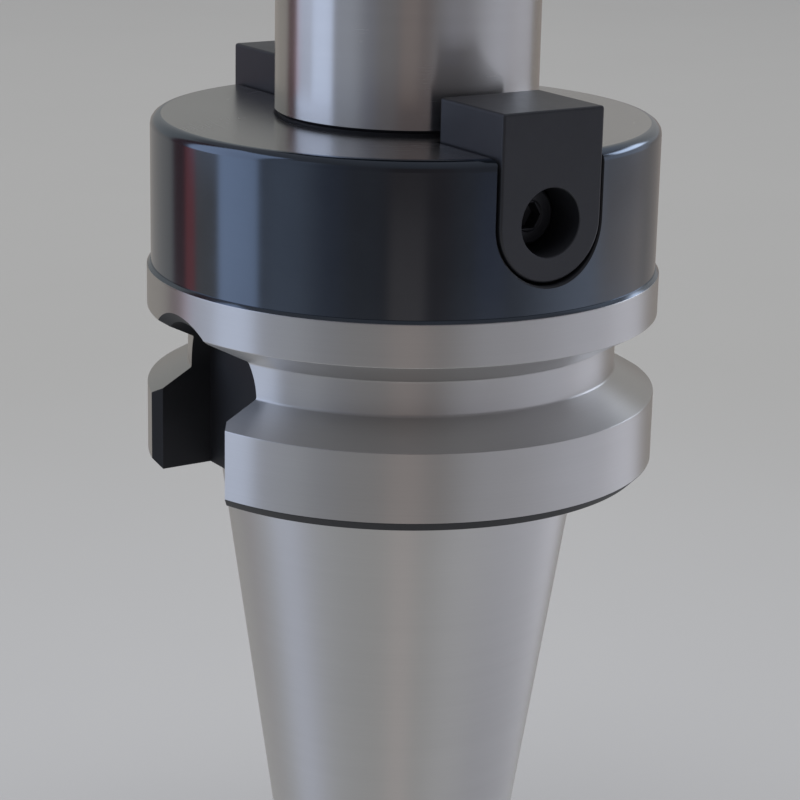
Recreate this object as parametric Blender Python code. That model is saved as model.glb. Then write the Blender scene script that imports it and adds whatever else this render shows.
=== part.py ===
"""Face mill holder: a steep taper arbor that carries a shell or face milling cutter.

One turned and milled steel holder has a 7:24 taper, a flange with a V groove and two drive slots,
a blackened body with a ground cutter seat, and a plain pilot. Two drive keys sit in U-shaped pockets of
the body and are each held by a radial cap screw. A wide-headed clamp screw closes the pilot's end.

Frame: metres, +Z up towards the cutter, origin at the centre of the taper's small end.
The drive keys point along -Y and +Y, and the drive slots open along -X and +X.
Threads are plain here, at about their pitch diameter.
"""

import math

import bmesh
import bpy
from mathutils import Matrix, Vector

# Clearance kept between pieces that touch on the real object
SEAT_GAP = 0.0003

# Steep taper, measured down from the gauge line
GAUGE_DIAMETER = 0.04445
TAPER_RATE = 7 / 24
TAPER_LENGTH = 0.0654
SMALL_END_CHAMFER = 0.0008

# Threaded hole for the retention stud, in the small end
STUD_THREAD_DIAMETER = 0.0153
STUD_THREAD_DEPTH = 0.036
STUD_SPIGOT_DIAMETER = 0.017
STUD_SPIGOT_DEPTH = 0.007
STUD_MOUTH_CHAMFER = 0.0006

# Flange with its V groove; heights count up from the gauge line
FLANGE_RISE = 0.002
FLANGE_THICKNESS = 0.025
FLANGE_DIAMETER = 0.063
FLANGE_LOWER_CHAMFER = 0.0012
FLANGE_UPPER_CHAMFER = 0.0004
GROOVE_RISE = 0.0166
GROOVE_MOUTH_WIDTH = 0.010
GROOVE_DEPTH = 0.005
GROOVE_FLANK_ANGLE = math.radians(30)
GROOVE_ROOT_FILLET = 0.0004

# Drive slots in the flange
SLOT_WIDTH = 0.0161
SLOT_FLOOR_DISTANCE = 0.0226
SLOT_CENTRE_RISE = 0.01435
SLOT_EDGE_CHAMFER = 0.0012

# Blackened body and the ground cutter seat on its top
BODY_DIAMETER = 0.062
SEAT_RISE = 0.045
BODY_EDGE_RADIUS = 0.0013

# Pilot that centres the cutter
PILOT_DIAMETER = 0.032
PILOT_LENGTH = 0.022
PILOT_CHAMFER = 0.0008
PILOT_CHAMFER_ANGLE = math.radians(30)
NECK_WIDTH = 0.0007
NECK_DEPTH = 0.0004
NECK_FACE_DEPTH = 0.0001

# Clamp screw and its threaded hole
CLAMP_THREAD_DIAMETER = 0.0147
CLAMP_SHANK_LENGTH = 0.022
CLAMP_HOLE_RUNOUT = 0.002
CLAMP_HOLE_CHAMFER = 0.0008
CLAMP_HEAD_DIAMETER = 0.042
CLAMP_HEAD_HEIGHT = 0.009
CLAMP_HEAD_CHAMFER = 0.0008
CLAMP_SOCKET_FLATS = 0.014
CLAMP_SOCKET_DEPTH = 0.007
CLAMP_SOCKET_MOUTH = 0.0008

# Drive keys; the round lower end shares its centre with the key's screw
KEY_WIDTH = 0.0139
KEY_PILOT_CLEARANCE = 0.0017
KEY_OUTER_INSET = 0.0006
KEY_STANDOUT = 0.0051
KEY_SCREW_DROP = 0.0077
KEY_WEB = 0.0041
KEY_EDGE_CHAMFER = 0.0003

# Cap screws that hold the keys
KEY_SCREW_THREAD_DIAMETER = 0.0035
KEY_SCREW_SHANK_LENGTH = 0.012
KEY_SCREW_HEAD_DIAMETER = 0.007
KEY_SCREW_HEAD_HEIGHT = 0.004
KEY_SCREW_HEAD_CHAMFER = 0.0003
KEY_SCREW_SOCKET_FLATS = 0.003
KEY_SCREW_SOCKET_DEPTH = 0.002
KEY_SCREW_HOLE_RUNOUT = 0.0005
KEY_RECESS_CLEARANCE = 0.0005
KEY_THROUGH_HOLE_DIAMETER = 0.0045

# Facets and the reach of a cutter beyond the metal that it cuts
TURNED_STEPS = 80
SCREW_STEPS = 32
HALF_CIRCLE_STEPS = 24
EDGE_ARC_STEPS = 4
FILLET_STEPS = 2
DRILL_POINT_ANGLE = math.radians(59)
OVERREACH = 0.002
SMOOTH_LIMIT = math.radians(30)

# Places of the two finishes of the holder in its material slots, and how flat a level face lies
BRIGHT = 0
BLACKENED = 1
FLATNESS = 0.000001

# Heights and radii that follow from the sizes above
GAUGE_HEIGHT = TAPER_LENGTH
FLANGE_BOTTOM = GAUGE_HEIGHT + FLANGE_RISE
FLANGE_TOP = FLANGE_BOTTOM + FLANGE_THICKNESS
GROOVE_HEIGHT = GAUGE_HEIGHT + GROOVE_RISE
SLOT_CENTRE_HEIGHT = GAUGE_HEIGHT + SLOT_CENTRE_RISE
SEAT_HEIGHT = GAUGE_HEIGHT + SEAT_RISE
PILOT_TOP = SEAT_HEIGHT + PILOT_LENGTH
KEY_SCREW_HEIGHT = SEAT_HEIGHT - KEY_SCREW_DROP
KEY_INNER_DISTANCE = PILOT_DIAMETER / 2 + KEY_PILOT_CLEARANCE
KEY_OUTER_DISTANCE = BODY_DIAMETER / 2 - KEY_OUTER_INSET
KEY_SHOULDER_DISTANCE = KEY_INNER_DISTANCE + KEY_WEB
CLAMP_HOLE_DEPTH = CLAMP_SHANK_LENGTH + CLAMP_HOLE_RUNOUT
CLAMP_HOLE_RADIUS = CLAMP_THREAD_DIAMETER / 2 + SEAT_GAP


def clear_scene():
    for existing in list(bpy.data.objects):
        bpy.data.objects.remove(existing, do_unlink=True)


def steel(name, colour, metallic, roughness):
    """A plain metal finish."""
    material = bpy.data.materials.new(name)
    material.use_nodes = True
    shader = material.node_tree.nodes["Principled BSDF"]
    shader.inputs["Base Color"].default_value = (*colour, 1.0)
    shader.inputs["Metallic"].default_value = metallic
    shader.inputs["Roughness"].default_value = roughness
    material.diffuse_color = (*colour, 1.0)
    return material


def link_mesh(name, bm, materials):
    """Writes a bmesh to a new object in the scene, with its round faces shaded smooth."""
    bmesh.ops.recalc_face_normals(bm, faces=bm.faces[:])
    mesh = bpy.data.meshes.new(name)
    bm.to_mesh(mesh)
    bm.free()
    for material in materials:
        mesh.materials.append(material)
    mesh.shade_smooth()
    mesh.set_sharp_from_angle(angle=SMOOTH_LIMIT)
    made = bpy.data.objects.new(name, mesh)
    bpy.context.scene.collection.objects.link(made)
    return made


def spun(profile, steps):
    """Turns a profile of (radius, height) points, whose ends lie on the Z axis, into a closed bmesh."""
    bm = bmesh.new()
    points = [bm.verts.new((radius, 0.0, height)) for radius, height in profile]
    edges = [bm.edges.new(pair) for pair in zip(points, points[1:])]
    bmesh.ops.spin(
        bm,
        geom=points + edges,
        axis=(0, 0, 1),
        cent=(0, 0, 0),
        angle=2 * math.pi,
        steps=steps,
        use_merge=True,
    )
    bmesh.ops.remove_doubles(bm, verts=bm.verts[:], dist=1e-7)
    return bm


def arc(centre_radius, centre_height, radius, start, end, steps):
    """Points of a circular arc in the turning plane, from angle start to angle end in degrees."""
    angles = [math.radians(start + (end - start) * step / steps) for step in range(steps + 1)]
    return [
        (centre_radius + radius * math.cos(angle), centre_height + radius * math.sin(angle))
        for angle in angles
    ]


def prism(outlines):
    """Lofts a closed bmesh through outlines of equal point count, capped at both ends."""
    bm = bmesh.new()
    rings = [[bm.verts.new(point) for point in outline] for outline in outlines]
    for ring, following in zip(rings, rings[1:]):
        for index in range(len(ring)):
            after = (index + 1) % len(ring)
            bm.faces.new((ring[index], ring[after], following[after], following[index]))
    bm.faces.new(reversed(rings[0]))
    bm.faces.new(rings[-1])
    return bm


def cutter(name, bm, finish=BRIGHT):
    """A helper that only cuts and leaves its finish behind: it isn't rendered and shows as wire."""
    for face in bm.faces:
        face.material_index = finish
    made = link_mesh(name, bm, [])
    made.hide_render = True
    made.display_type = "WIRE"
    return made


def cut(target, tool):
    """Takes the tool's shape out of the target."""
    boolean = target.modifiers.new(tool.name, "BOOLEAN")
    boolean.operation = "DIFFERENCE"
    boolean.solver = "EXACT"
    boolean.object = tool


def place_radially(made, angle, height):
    """Turns local +X to the given direction round the axis and lifts the piece to its height."""
    made.location = (0.0, 0.0, height)
    made.rotation_euler = (0.0, 0.0, angle)


def taper_radius(height):
    """Radius of the 7:24 cone at a height above its small end."""
    return (GAUGE_DIAMETER + TAPER_RATE * (height - GAUGE_HEIGHT)) / 2


def drill_point(radius):
    """Height of the cone that a twist drill leaves under a hole of this radius."""
    return radius / math.tan(DRILL_POINT_ANGLE)


def groove_profile():
    """Upper lip, root and lower lip of the V groove, from the top down."""
    outer = FLANGE_DIAMETER / 2
    root = outer - GROOVE_DEPTH
    lip = GROOVE_MOUTH_WIDTH / 2
    floor = lip - GROOVE_DEPTH * math.tan(GROOVE_FLANK_ANGLE)
    turn = math.pi / 2 - GROOVE_FLANK_ANGLE
    trim = GROOVE_ROOT_FILLET * math.tan(turn / 2)
    start = 90 - math.degrees(GROOVE_FLANK_ANGLE)
    upper = arc(
        root + GROOVE_ROOT_FILLET,
        GROOVE_HEIGHT + floor - trim,
        GROOVE_ROOT_FILLET,
        180 - start,
        180,
        FILLET_STEPS,
    )
    lower = [(radius, 2 * GROOVE_HEIGHT - height) for radius, height in reversed(upper)]
    return (
        [(outer, GROOVE_HEIGHT + lip)]
        + upper
        + lower
        + [(outer, GROOVE_HEIGHT - lip)]
    )


def holder_profile():
    """Half section of the holder: pilot bore, pilot, cutter seat, body, flange, taper and stud bore."""
    clamp_bore = CLAMP_HOLE_RADIUS
    pilot = PILOT_DIAMETER / 2
    body = BODY_DIAMETER / 2
    flange = FLANGE_DIAMETER / 2
    small_end = taper_radius(0.0)
    stud = STUD_THREAD_DIAMETER / 2
    spigot = STUD_SPIGOT_DIAMETER / 2
    bore_floor = PILOT_TOP - CLAMP_HOLE_DEPTH
    pilot_lead = PILOT_CHAMFER / math.tan(PILOT_CHAMFER_ANGLE)
    points = [
        (0.0, bore_floor - drill_point(clamp_bore)),
        (clamp_bore, bore_floor),
        (clamp_bore, PILOT_TOP - CLAMP_HOLE_CHAMFER),
        (clamp_bore + CLAMP_HOLE_CHAMFER, PILOT_TOP),
        (pilot - PILOT_CHAMFER, PILOT_TOP),
        (pilot, PILOT_TOP - pilot_lead),
        (pilot, SEAT_HEIGHT + NECK_WIDTH),
        (pilot - NECK_DEPTH, SEAT_HEIGHT + NECK_WIDTH - NECK_DEPTH),
        (pilot - NECK_DEPTH, SEAT_HEIGHT - NECK_FACE_DEPTH),
        (pilot + NECK_FACE_DEPTH, SEAT_HEIGHT),
    ]
    points += arc(
        body - BODY_EDGE_RADIUS,
        SEAT_HEIGHT - BODY_EDGE_RADIUS,
        BODY_EDGE_RADIUS,
        90,
        0,
        EDGE_ARC_STEPS,
    )
    points += [
        (body, FLANGE_TOP),
        (flange - FLANGE_UPPER_CHAMFER, FLANGE_TOP),
        (flange, FLANGE_TOP - FLANGE_UPPER_CHAMFER),
    ]
    points += groove_profile()
    points += [
        (flange, FLANGE_BOTTOM + FLANGE_LOWER_CHAMFER),
        (flange - FLANGE_LOWER_CHAMFER, FLANGE_BOTTOM),
        (taper_radius(FLANGE_BOTTOM), FLANGE_BOTTOM),
        (taper_radius(SMALL_END_CHAMFER), SMALL_END_CHAMFER),
        (small_end - SMALL_END_CHAMFER, 0.0),
        (spigot + STUD_MOUTH_CHAMFER, 0.0),
        (spigot, STUD_MOUTH_CHAMFER),
        (spigot, STUD_SPIGOT_DEPTH),
        (stud, STUD_SPIGOT_DEPTH),
        (stud, STUD_THREAD_DEPTH),
        (0.0, STUD_THREAD_DEPTH + drill_point(stud)),
    ]
    return points


def u_outline(half_width, top):
    """(side, height) points round a U: flat on top, with a half circle about the origin below."""
    angles = [math.pi * step / HALF_CIRCLE_STEPS for step in range(HALF_CIRCLE_STEPS + 1)]
    arc_points = [
        (half_width * math.cos(angle), -half_width * math.sin(angle)) for angle in angles
    ]
    return [(half_width, top)] + arc_points + [(-half_width, top)]


def slot_ring(offset, radius, bottom):
    """One outline of the drive slot's cutter: grown by offset, and wrapped on a cylinder of this radius."""
    half_width = SLOT_WIDTH / 2 + offset
    outline = u_outline(half_width, SLOT_CENTRE_HEIGHT - bottom)
    return [
        Vector((math.sqrt(radius**2 - side**2), side, SLOT_CENTRE_HEIGHT - height))
        for side, height in outline
    ]


def slot_cutter(name, angle):
    """A drive slot with a flat floor, an arched upper end and broken edges on the flange."""
    outer = FLANGE_DIAMETER / 2
    bottom = FLANGE_BOTTOM - OVERREACH
    reach = outer + OVERREACH
    inner = slot_ring(0.0, outer - SLOT_EDGE_CHAMFER, bottom)
    grown = slot_ring(2 * SLOT_EDGE_CHAMFER, outer + SLOT_EDGE_CHAMFER, bottom)
    floor = [Vector((SLOT_FLOOR_DISTANCE, point.y, point.z)) for point in inner]
    outside = [Vector((reach, point.y, point.z)) for point in grown]
    made = cutter(name, prism([floor, inner, grown, outside]), BLACKENED)
    place_radially(made, angle, 0.0)
    return made


def key_prism(half_width, inner, outer, top, chamfer):
    """U-shaped block along local X; its outer end has broken edges where a chamfer is given."""

    def ring(distance, inset):
        outline = u_outline(half_width - inset, top - inset)
        return [Vector((distance, side, height)) for side, height in outline]

    rings = [ring(inner, chamfer), ring(inner + chamfer, 0.0)] if chamfer else [ring(inner, 0.0)]
    rings += [ring(outer - chamfer, 0.0), ring(outer, chamfer)] if chamfer else [ring(outer, 0.0)]
    return prism(rings)


def radial_turned(profile, steps):
    """A turned shape whose axis lies along local X: the profile's heights become distances."""
    bm = spun(profile, steps)
    bmesh.ops.transform(bm, matrix=Matrix.Rotation(math.pi / 2, 4, "Y"), verts=bm.verts[:])
    return bm


def stepped_hole_cutter(name, angle):
    """Counterbore and clearance hole of a drive key, seen from its outer face."""
    through = KEY_THROUGH_HOLE_DIAMETER / 2
    recess = KEY_SCREW_HEAD_DIAMETER / 2 + KEY_RECESS_CLEARANCE
    profile = [
        (0.0, KEY_OUTER_DISTANCE + OVERREACH),
        (recess, KEY_OUTER_DISTANCE + OVERREACH),
        (recess, KEY_SHOULDER_DISTANCE),
        (through, KEY_SHOULDER_DISTANCE),
        (through, KEY_INNER_DISTANCE - OVERREACH),
        (0.0, KEY_INNER_DISTANCE - OVERREACH),
    ]
    made = cutter(name, radial_turned(profile, SCREW_STEPS))
    place_radially(made, angle, KEY_SCREW_HEIGHT)
    return made


def key_screw_profile():
    """Cap screw from head to tip; heights are distances from the holder's axis."""
    head = KEY_SCREW_HEAD_DIAMETER / 2
    shank = KEY_SCREW_THREAD_DIAMETER / 2
    under_head = KEY_SHOULDER_DISTANCE + SEAT_GAP
    top = under_head + KEY_SCREW_HEAD_HEIGHT
    tip = under_head - KEY_SCREW_SHANK_LENGTH
    return [
        (0.0, top),
        (head - KEY_SCREW_HEAD_CHAMFER, top),
        (head, top - KEY_SCREW_HEAD_CHAMFER),
        (head, under_head),
        (shank, under_head),
        (shank, tip + KEY_SCREW_HEAD_CHAMFER),
        (shank - KEY_SCREW_HEAD_CHAMFER, tip),
        (0.0, tip),
    ]


def hexagon(flats, distance):
    """Corners of a hexagon of this width across flats, square to local X."""
    corner = flats / math.sqrt(3)
    angles = [math.pi / 3 * index for index in range(6)]
    return [
        Vector((distance, corner * math.sin(angle), corner * math.cos(angle)))
        for angle in angles
    ]


def socket_bmesh(flats, top, depth):
    """Hexagon socket that opens at distance top along local X, with a shallow drilled point."""
    bm = prism([hexagon(flats, top + OVERREACH), hexagon(flats, top - depth)])
    bm.faces.ensure_lookup_table()
    floor = bm.faces[-1]
    point = floor.calc_center_median() - Vector((drill_point(flats / 2) / 2, 0.0, 0.0))
    bmesh.ops.poke(bm, faces=[floor])
    tip = min(bm.verts, key=lambda vertex: (vertex.co.yz.length, vertex.co.x))
    tip.co = point
    return bm


def is_blackened(middle):
    """Whether the turned face with this middle is black: the body, the neck and the flange's lower edge."""
    if middle.xy.length < CLAMP_HOLE_RADIUS or abs(middle.z - SEAT_HEIGHT) < FLATNESS:
        return False
    on_body = FLANGE_TOP - FLANGE_UPPER_CHAMFER < middle.z < SEAT_HEIGHT + NECK_WIDTH
    lower_edge = FLANGE_BOTTOM + FLATNESS < middle.z < FLANGE_BOTTOM + FLANGE_LOWER_CHAMFER
    return on_body or lower_edge


def make_holder(bright, black):
    """The one-piece holder: bright taper, flange, seat and pilot, with the rest blackened."""
    bm = spun(holder_profile(), TURNED_STEPS)
    for face in bm.faces:
        if is_blackened(face.calc_center_median()):
            face.material_index = BLACKENED
    holder = link_mesh("holder_body", bm, [bright, black])
    for name, angle in (("slot_cut_right", 0.0), ("slot_cut_left", math.pi)):
        cut(holder, slot_cutter(name, angle))
    return holder


def key_seat_cutters(side, angle):
    """The U-shaped pocket of a drive key and the threaded hole behind it."""
    pocket = cutter(
        f"key_pocket_cut_{side}",
        key_prism(
            KEY_WIDTH / 2 + SEAT_GAP,
            KEY_INNER_DISTANCE - SEAT_GAP,
            BODY_DIAMETER / 2 + OVERREACH,
            KEY_SCREW_DROP + OVERREACH,
            0.0,
        ),
        BLACKENED,
    )
    place_radially(pocket, angle, KEY_SCREW_HEIGHT)
    radius = KEY_SCREW_THREAD_DIAMETER / 2 + SEAT_GAP
    end = KEY_SHOULDER_DISTANCE + SEAT_GAP - KEY_SCREW_SHANK_LENGTH - KEY_SCREW_HOLE_RUNOUT
    profile = [
        (0.0, KEY_INNER_DISTANCE),
        (radius, KEY_INNER_DISTANCE),
        (radius, end),
        (0.0, end - drill_point(radius)),
    ]
    tapped = cutter(f"key_screw_hole_cut_{side}", radial_turned(profile, SCREW_STEPS))
    place_radially(tapped, angle, KEY_SCREW_HEIGHT)
    return pocket, tapped


def make_key(side, angle, material):
    """A drive key: flat on top, round below, with a counterbored hole for its screw."""
    bm = key_prism(
        KEY_WIDTH / 2,
        KEY_INNER_DISTANCE,
        KEY_OUTER_DISTANCE,
        KEY_SCREW_DROP + KEY_STANDOUT,
        KEY_EDGE_CHAMFER,
    )
    key = link_mesh(f"drive_key_{side}", bm, [material])
    place_radially(key, angle, KEY_SCREW_HEIGHT)
    cut(key, stepped_hole_cutter(f"key_hole_cut_{side}", angle))
    return key


def make_key_screw(side, angle, material):
    """A socket head cap screw that passes through the key into the body."""
    screw = link_mesh(
        f"key_screw_{side}", radial_turned(key_screw_profile(), SCREW_STEPS), [material]
    )
    place_radially(screw, angle, KEY_SCREW_HEIGHT)
    top = KEY_SHOULDER_DISTANCE + SEAT_GAP + KEY_SCREW_HEAD_HEIGHT
    socket = cutter(
        f"key_screw_socket_cut_{side}",
        socket_bmesh(KEY_SCREW_SOCKET_FLATS, top, KEY_SCREW_SOCKET_DEPTH),
    )
    place_radially(socket, angle, KEY_SCREW_HEIGHT)
    cut(screw, socket)
    return screw


def clamp_screw_profile():
    """Wide flat head with a dished mouth round its socket, and a plain shank; zero is under the head."""
    head = CLAMP_HEAD_DIAMETER / 2
    shank = CLAMP_THREAD_DIAMETER / 2
    mouth = CLAMP_SOCKET_FLATS / math.sqrt(3)
    return [
        (0.0, CLAMP_HEAD_HEIGHT - CLAMP_SOCKET_MOUTH),
        (mouth, CLAMP_HEAD_HEIGHT - CLAMP_SOCKET_MOUTH),
        (mouth + CLAMP_SOCKET_MOUTH, CLAMP_HEAD_HEIGHT),
        (head - CLAMP_HEAD_CHAMFER, CLAMP_HEAD_HEIGHT),
        (head, CLAMP_HEAD_HEIGHT - CLAMP_HEAD_CHAMFER),
        (head, CLAMP_HEAD_CHAMFER),
        (head - CLAMP_HEAD_CHAMFER, 0.0),
        (shank, 0.0),
        (shank, CLAMP_HEAD_CHAMFER - CLAMP_SHANK_LENGTH),
        (shank - CLAMP_HEAD_CHAMFER, -CLAMP_SHANK_LENGTH),
        (0.0, -CLAMP_SHANK_LENGTH),
    ]


def make_clamp_screw(material):
    """The screw that clamps the cutter on the pilot; its origin is under the head, on the axis."""
    height = PILOT_TOP + SEAT_GAP
    screw = link_mesh("clamp_screw", spun(clamp_screw_profile(), TURNED_STEPS), [material])
    screw.location.z = height
    bm = socket_bmesh(CLAMP_SOCKET_FLATS, CLAMP_HEAD_HEIGHT, CLAMP_SOCKET_DEPTH)
    bmesh.ops.transform(bm, matrix=Matrix.Rotation(-math.pi / 2, 4, "Y"), verts=bm.verts[:])
    socket = cutter("clamp_socket_cut", bm)
    socket.location.z = height
    cut(screw, socket)
    return screw


def main():
    clear_scene()
    ground = steel("ground_steel", (0.56, 0.56, 0.57), 1.0, 0.3)
    black = steel("black_oxide", (0.035, 0.036, 0.042), 0.9, 0.25)
    matte_black = steel("matte_black_steel", (0.05, 0.05, 0.055), 0.8, 0.5)
    holder = make_holder(ground, black)
    for side, angle in (("front", -math.pi / 2), ("rear", math.pi / 2)):
        for tool in key_seat_cutters(side, angle):
            cut(holder, tool)
        make_key(side, angle, matte_black)
        make_key_screw(side, angle, matte_black)
    make_clamp_screw(matte_black)


main()
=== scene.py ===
"""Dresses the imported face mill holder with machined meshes, steel finishes and a soft studio.

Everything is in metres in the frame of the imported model: +Z up towards the cutter, origin at the
middle of the taper's small end, drive keys along -Y and +Y, drive slots along -X and +X.
"""

import math

import bmesh
import bpy
from bpy.props import FloatProperty, FloatVectorProperty, IntProperty, PointerProperty
from bpy.types import Operator, Panel, PropertyGroup
from mathutils import Matrix, Vector


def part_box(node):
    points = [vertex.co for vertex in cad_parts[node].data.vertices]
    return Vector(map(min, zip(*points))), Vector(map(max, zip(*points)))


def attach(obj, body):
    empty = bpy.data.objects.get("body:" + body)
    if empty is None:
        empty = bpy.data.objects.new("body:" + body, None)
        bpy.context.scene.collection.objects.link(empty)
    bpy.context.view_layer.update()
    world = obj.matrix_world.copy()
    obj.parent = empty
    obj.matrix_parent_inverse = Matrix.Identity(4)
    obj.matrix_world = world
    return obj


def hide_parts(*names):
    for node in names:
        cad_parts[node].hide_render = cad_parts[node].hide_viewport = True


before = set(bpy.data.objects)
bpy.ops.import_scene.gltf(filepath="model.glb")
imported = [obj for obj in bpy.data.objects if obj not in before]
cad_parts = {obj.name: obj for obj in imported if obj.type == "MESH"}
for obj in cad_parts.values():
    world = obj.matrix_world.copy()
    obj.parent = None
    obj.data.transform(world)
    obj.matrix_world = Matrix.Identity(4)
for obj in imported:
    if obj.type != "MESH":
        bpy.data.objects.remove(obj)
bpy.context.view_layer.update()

bl_info = {
    "name": "Face Mill Holder",
    "version": (1, 0, 0),
    "blender": (4, 5, 0),
    "location": "View3D > Sidebar > Holder",
    "description": "Builds the visible pieces of a face mill holder and a soft studio round it",
    "category": "Add Mesh",
}

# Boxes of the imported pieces, which set the main sizes
HOLDER_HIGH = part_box("holder_body")[1]
KEY_LOW, KEY_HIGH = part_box("drive_key_front")
CLAMP_LOW, CLAMP_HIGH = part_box("clamp_screw")

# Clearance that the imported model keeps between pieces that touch
SEAT_GAP = 0.0003

# Places of the holder's finishes in its material slots
PILOT, RIM, TAPER, BODY, SEAT, MILLED, BORE = range(7)

# The two drive keys, with their directions along Y
SIDES = (("front", -1), ("rear", 1))

# How far a cutting tool reaches beyond the metal that it cuts
OVERREACH = 0.002

# Room round a key screw in its tapped hole, and between a large tap, its bore and the screw that fits it
THREAD_ROOM = 0.0001
TAP_ROOM = 0.0004

# How much thicker a threaded rod is than the shank that it joins, so that their faces stay apart
ROD_SLACK = 0.00002

# How far a threaded rod reaches above its thread, in metres, and below its last turn, in pitches
KEY_ROD = (0.0002, 1.2)
CLAMP_ROD = (0.0005, 1.1)

# A key screw's thread depth on both sides in pitches, the plain shank above its thread, the bevels under
# its head and at its tip, its knurl's depth and the radius of its head's corners
THREAD_DEPTH = 1.1
THREAD_LEAD = 0.001
UNDER_EDGE = 0.0005
TIP_EDGE = 0.0003
KNURL_DEPTH = 0.00012
HEAD_CORNER = 0.0001

# Fillets, bevels and corners of the screws and of the keys' holes where no other size is given
SMALL_EDGE = 0.0002

# Turns of the two large bores' threads, how far above its floor the clamp bore's tap ends, and the
# heights of the stud bore's thread and of its tap's ends
CLAMP_BORE_TURNS = 11
STUD_BORE_TURNS = 13
TAP_RUNOUT = 0.0005
STUD_THREAD_TOP = 0.034
STUD_TAP_ENDS = (0.0355, 0.003)

# Facets round a drilled hole, round a large thread, along the half circle of a U and in an arc
HOLE_STEPS = 48
THREAD_STEPS = 96
BOWL_STEPS = 48
ARC_STEPS = 4

# Radius below which a ring of points is a single one, and distance below which points are welded
AXIS_LIMIT = 1e-7
WELD_LIMIT = 1e-8

# Angles above which a cut edge stays sharp, and above which a key's edge is rounded
SMOOTH_LIMIT = math.radians(32)
ROUNDING_LIMIT = math.radians(40)

# Slopes of a drill's point, of the steep taper, of the V groove's flanks and of the lead on the pilot
DRILL_POINT = math.tan(math.radians(59))
TAPER_SLOPE = 7 / 24 / 2
GROOVE_FLANK = math.tan(math.radians(30))
PILOT_LEAD = math.tan(math.radians(30))


def length(name, description, default):
    """A length in metres for the sidebar."""
    return FloatProperty(
        name=name, description=description, default=default, min=0.0, precision=5, unit="LENGTH"
    )


def share(name, description, default):
    """A number from 0 to 1 for the sidebar."""
    return FloatProperty(
        name=name, description=description, default=default, min=0.0, max=1.0, subtype="FACTOR"
    )


def colour(name, description, default):
    """A linear colour for the sidebar."""
    return FloatVectorProperty(
        name=name, description=description, default=default, min=0.0, max=1.0, size=3, subtype="COLOR"
    )


class HolderSizes(PropertyGroup):
    """Sizes of the one-piece holder."""

    gauge_diameter: length("Gauge diameter", "Taper diameter at the gauge line", 0.04445)
    taper_length: length("Taper length", "From the small end up to the gauge line", 0.0654)
    flange_rise: length("Flange rise", "From the gauge line up to the flange", 0.002)
    flange_thickness: length("Flange thickness", "Height of the grooved flange", 0.025)
    groove_rise: length("Groove rise", "From the gauge line up to the middle of the V groove", 0.0166)
    groove_mouth: length("Groove mouth", "Height of the V groove at the rim", 0.010)
    groove_depth: length("Groove depth", "Radial depth of the V groove", 0.005)
    root_fillet: length("Root fillet", "Radius in the corners of the V groove", 0.0004)
    slot_width: length("Slot width", "Width of a drive slot", 0.0161)
    slot_floor: length("Slot floor", "Distance of a drive slot's floor from the axis", 0.0226)
    slot_centre_rise: length("Slot centre rise", "From the gauge line up to the arch's centre", 0.01435)
    slot_chamfer: length("Slot chamfer", "Broken edge round a drive slot", 0.0012)
    flange_lower_edge: length("Flange lower edge", "Chamfer under the flange", 0.0012)
    flange_upper_edge: length("Flange upper edge", "Chamfer on top of the flange", 0.0004)
    small_end_edge: length("Small end edge", "Chamfer at the taper's small end", 0.0008)
    body_diameter: length("Body diameter", "Blackened body under the cutter", 0.062)
    body_edge: length("Body edge", "Radius between the body's side and its seat", 0.0013)
    pilot_diameter: length("Pilot diameter", "Pilot that centres the cutter", 0.032)
    pilot_edge: length("Pilot edge", "Width of the lead at the pilot's end", 0.0008)
    neck_width: length("Neck width", "Height of the undercut under the pilot", 0.0007)
    neck_depth: length("Neck depth", "Depth of the undercut in the pilot", 0.0004)
    neck_relief: length("Neck relief", "Depth of the undercut in the seat", 0.0001)
    clamp_bore: length("Clamp bore", "Core diameter of the clamp screw's thread", 0.0141)
    clamp_bore_depth: length("Clamp bore depth", "Depth of the clamp screw's hole", 0.024)
    bore_mouth: length("Bore mouth", "Chamfer at the mouth of the clamp bore", 0.0013)
    stud_bore: length("Stud bore", "Core diameter of the retention stud's thread", 0.0141)
    stud_depth: length("Stud bore depth", "Depth of the retention stud's hole", 0.036)
    spigot_diameter: length("Spigot bore", "Plain bore that centres the retention stud", 0.017)
    spigot_depth: length("Spigot depth", "Depth of the plain bore", 0.007)
    spigot_mouth: length("Spigot mouth", "Chamfer at the plain bore's mouth", 0.0006)
    edge_break: length("Edge break", "Radius of the small broken edges", 0.00015)
    steps: IntProperty(name="Steps", description="Facets round the axis", default=288, min=32)


class KeySizes(PropertyGroup):
    """Sizes of the drive keys and of the cap screws that hold them."""

    standout: length("Key standout", "Height of a key above the seat", 0.0051)
    screw_drop: length("Screw drop", "From the seat down to a key screw's axis", 0.0077)
    web: length("Key web", "Metal under the screw's head", 0.0041)
    edge: length("Key edge", "Rounding of the key's edges", 0.00035)
    pocket_edge: length("Pocket edge", "Broken edge round a key's pocket", 0.0002)
    through_hole: length("Through hole", "Clearance hole of the key screw", 0.0045)
    recess: length("Recess", "Counterbore round the key screw's head", 0.008)
    recess_edge: length("Recess edge", "Broken edge of the counterbore", 0.0001)
    head_diameter: length("Head diameter", "Diameter of the key screw's head", 0.007)
    head_height: length("Head height", "Height of the key screw's head", 0.004)
    head_edge: length("Head edge", "Bevel on top of the key screw's head", 0.0004)
    shank_length: length("Shank length", "Key screw below its head", 0.012)
    thread_diameter: length("Thread diameter", "Outside of the key screw's thread", 0.0039)
    thread_pitch: length("Thread pitch", "Pitch of the key screw's thread", 0.0007)
    socket_flats: length("Socket flats", "Width of the key screw's hexagon", 0.003)
    socket_depth: length("Socket depth", "Depth of the key screw's hexagon", 0.002)
    hole_runout: length("Hole runout", "Tapped hole beyond the key screw's tip", 0.0005)
    steps: IntProperty(name="Steps", description="Facets round a key screw", default=96, min=24)


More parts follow.
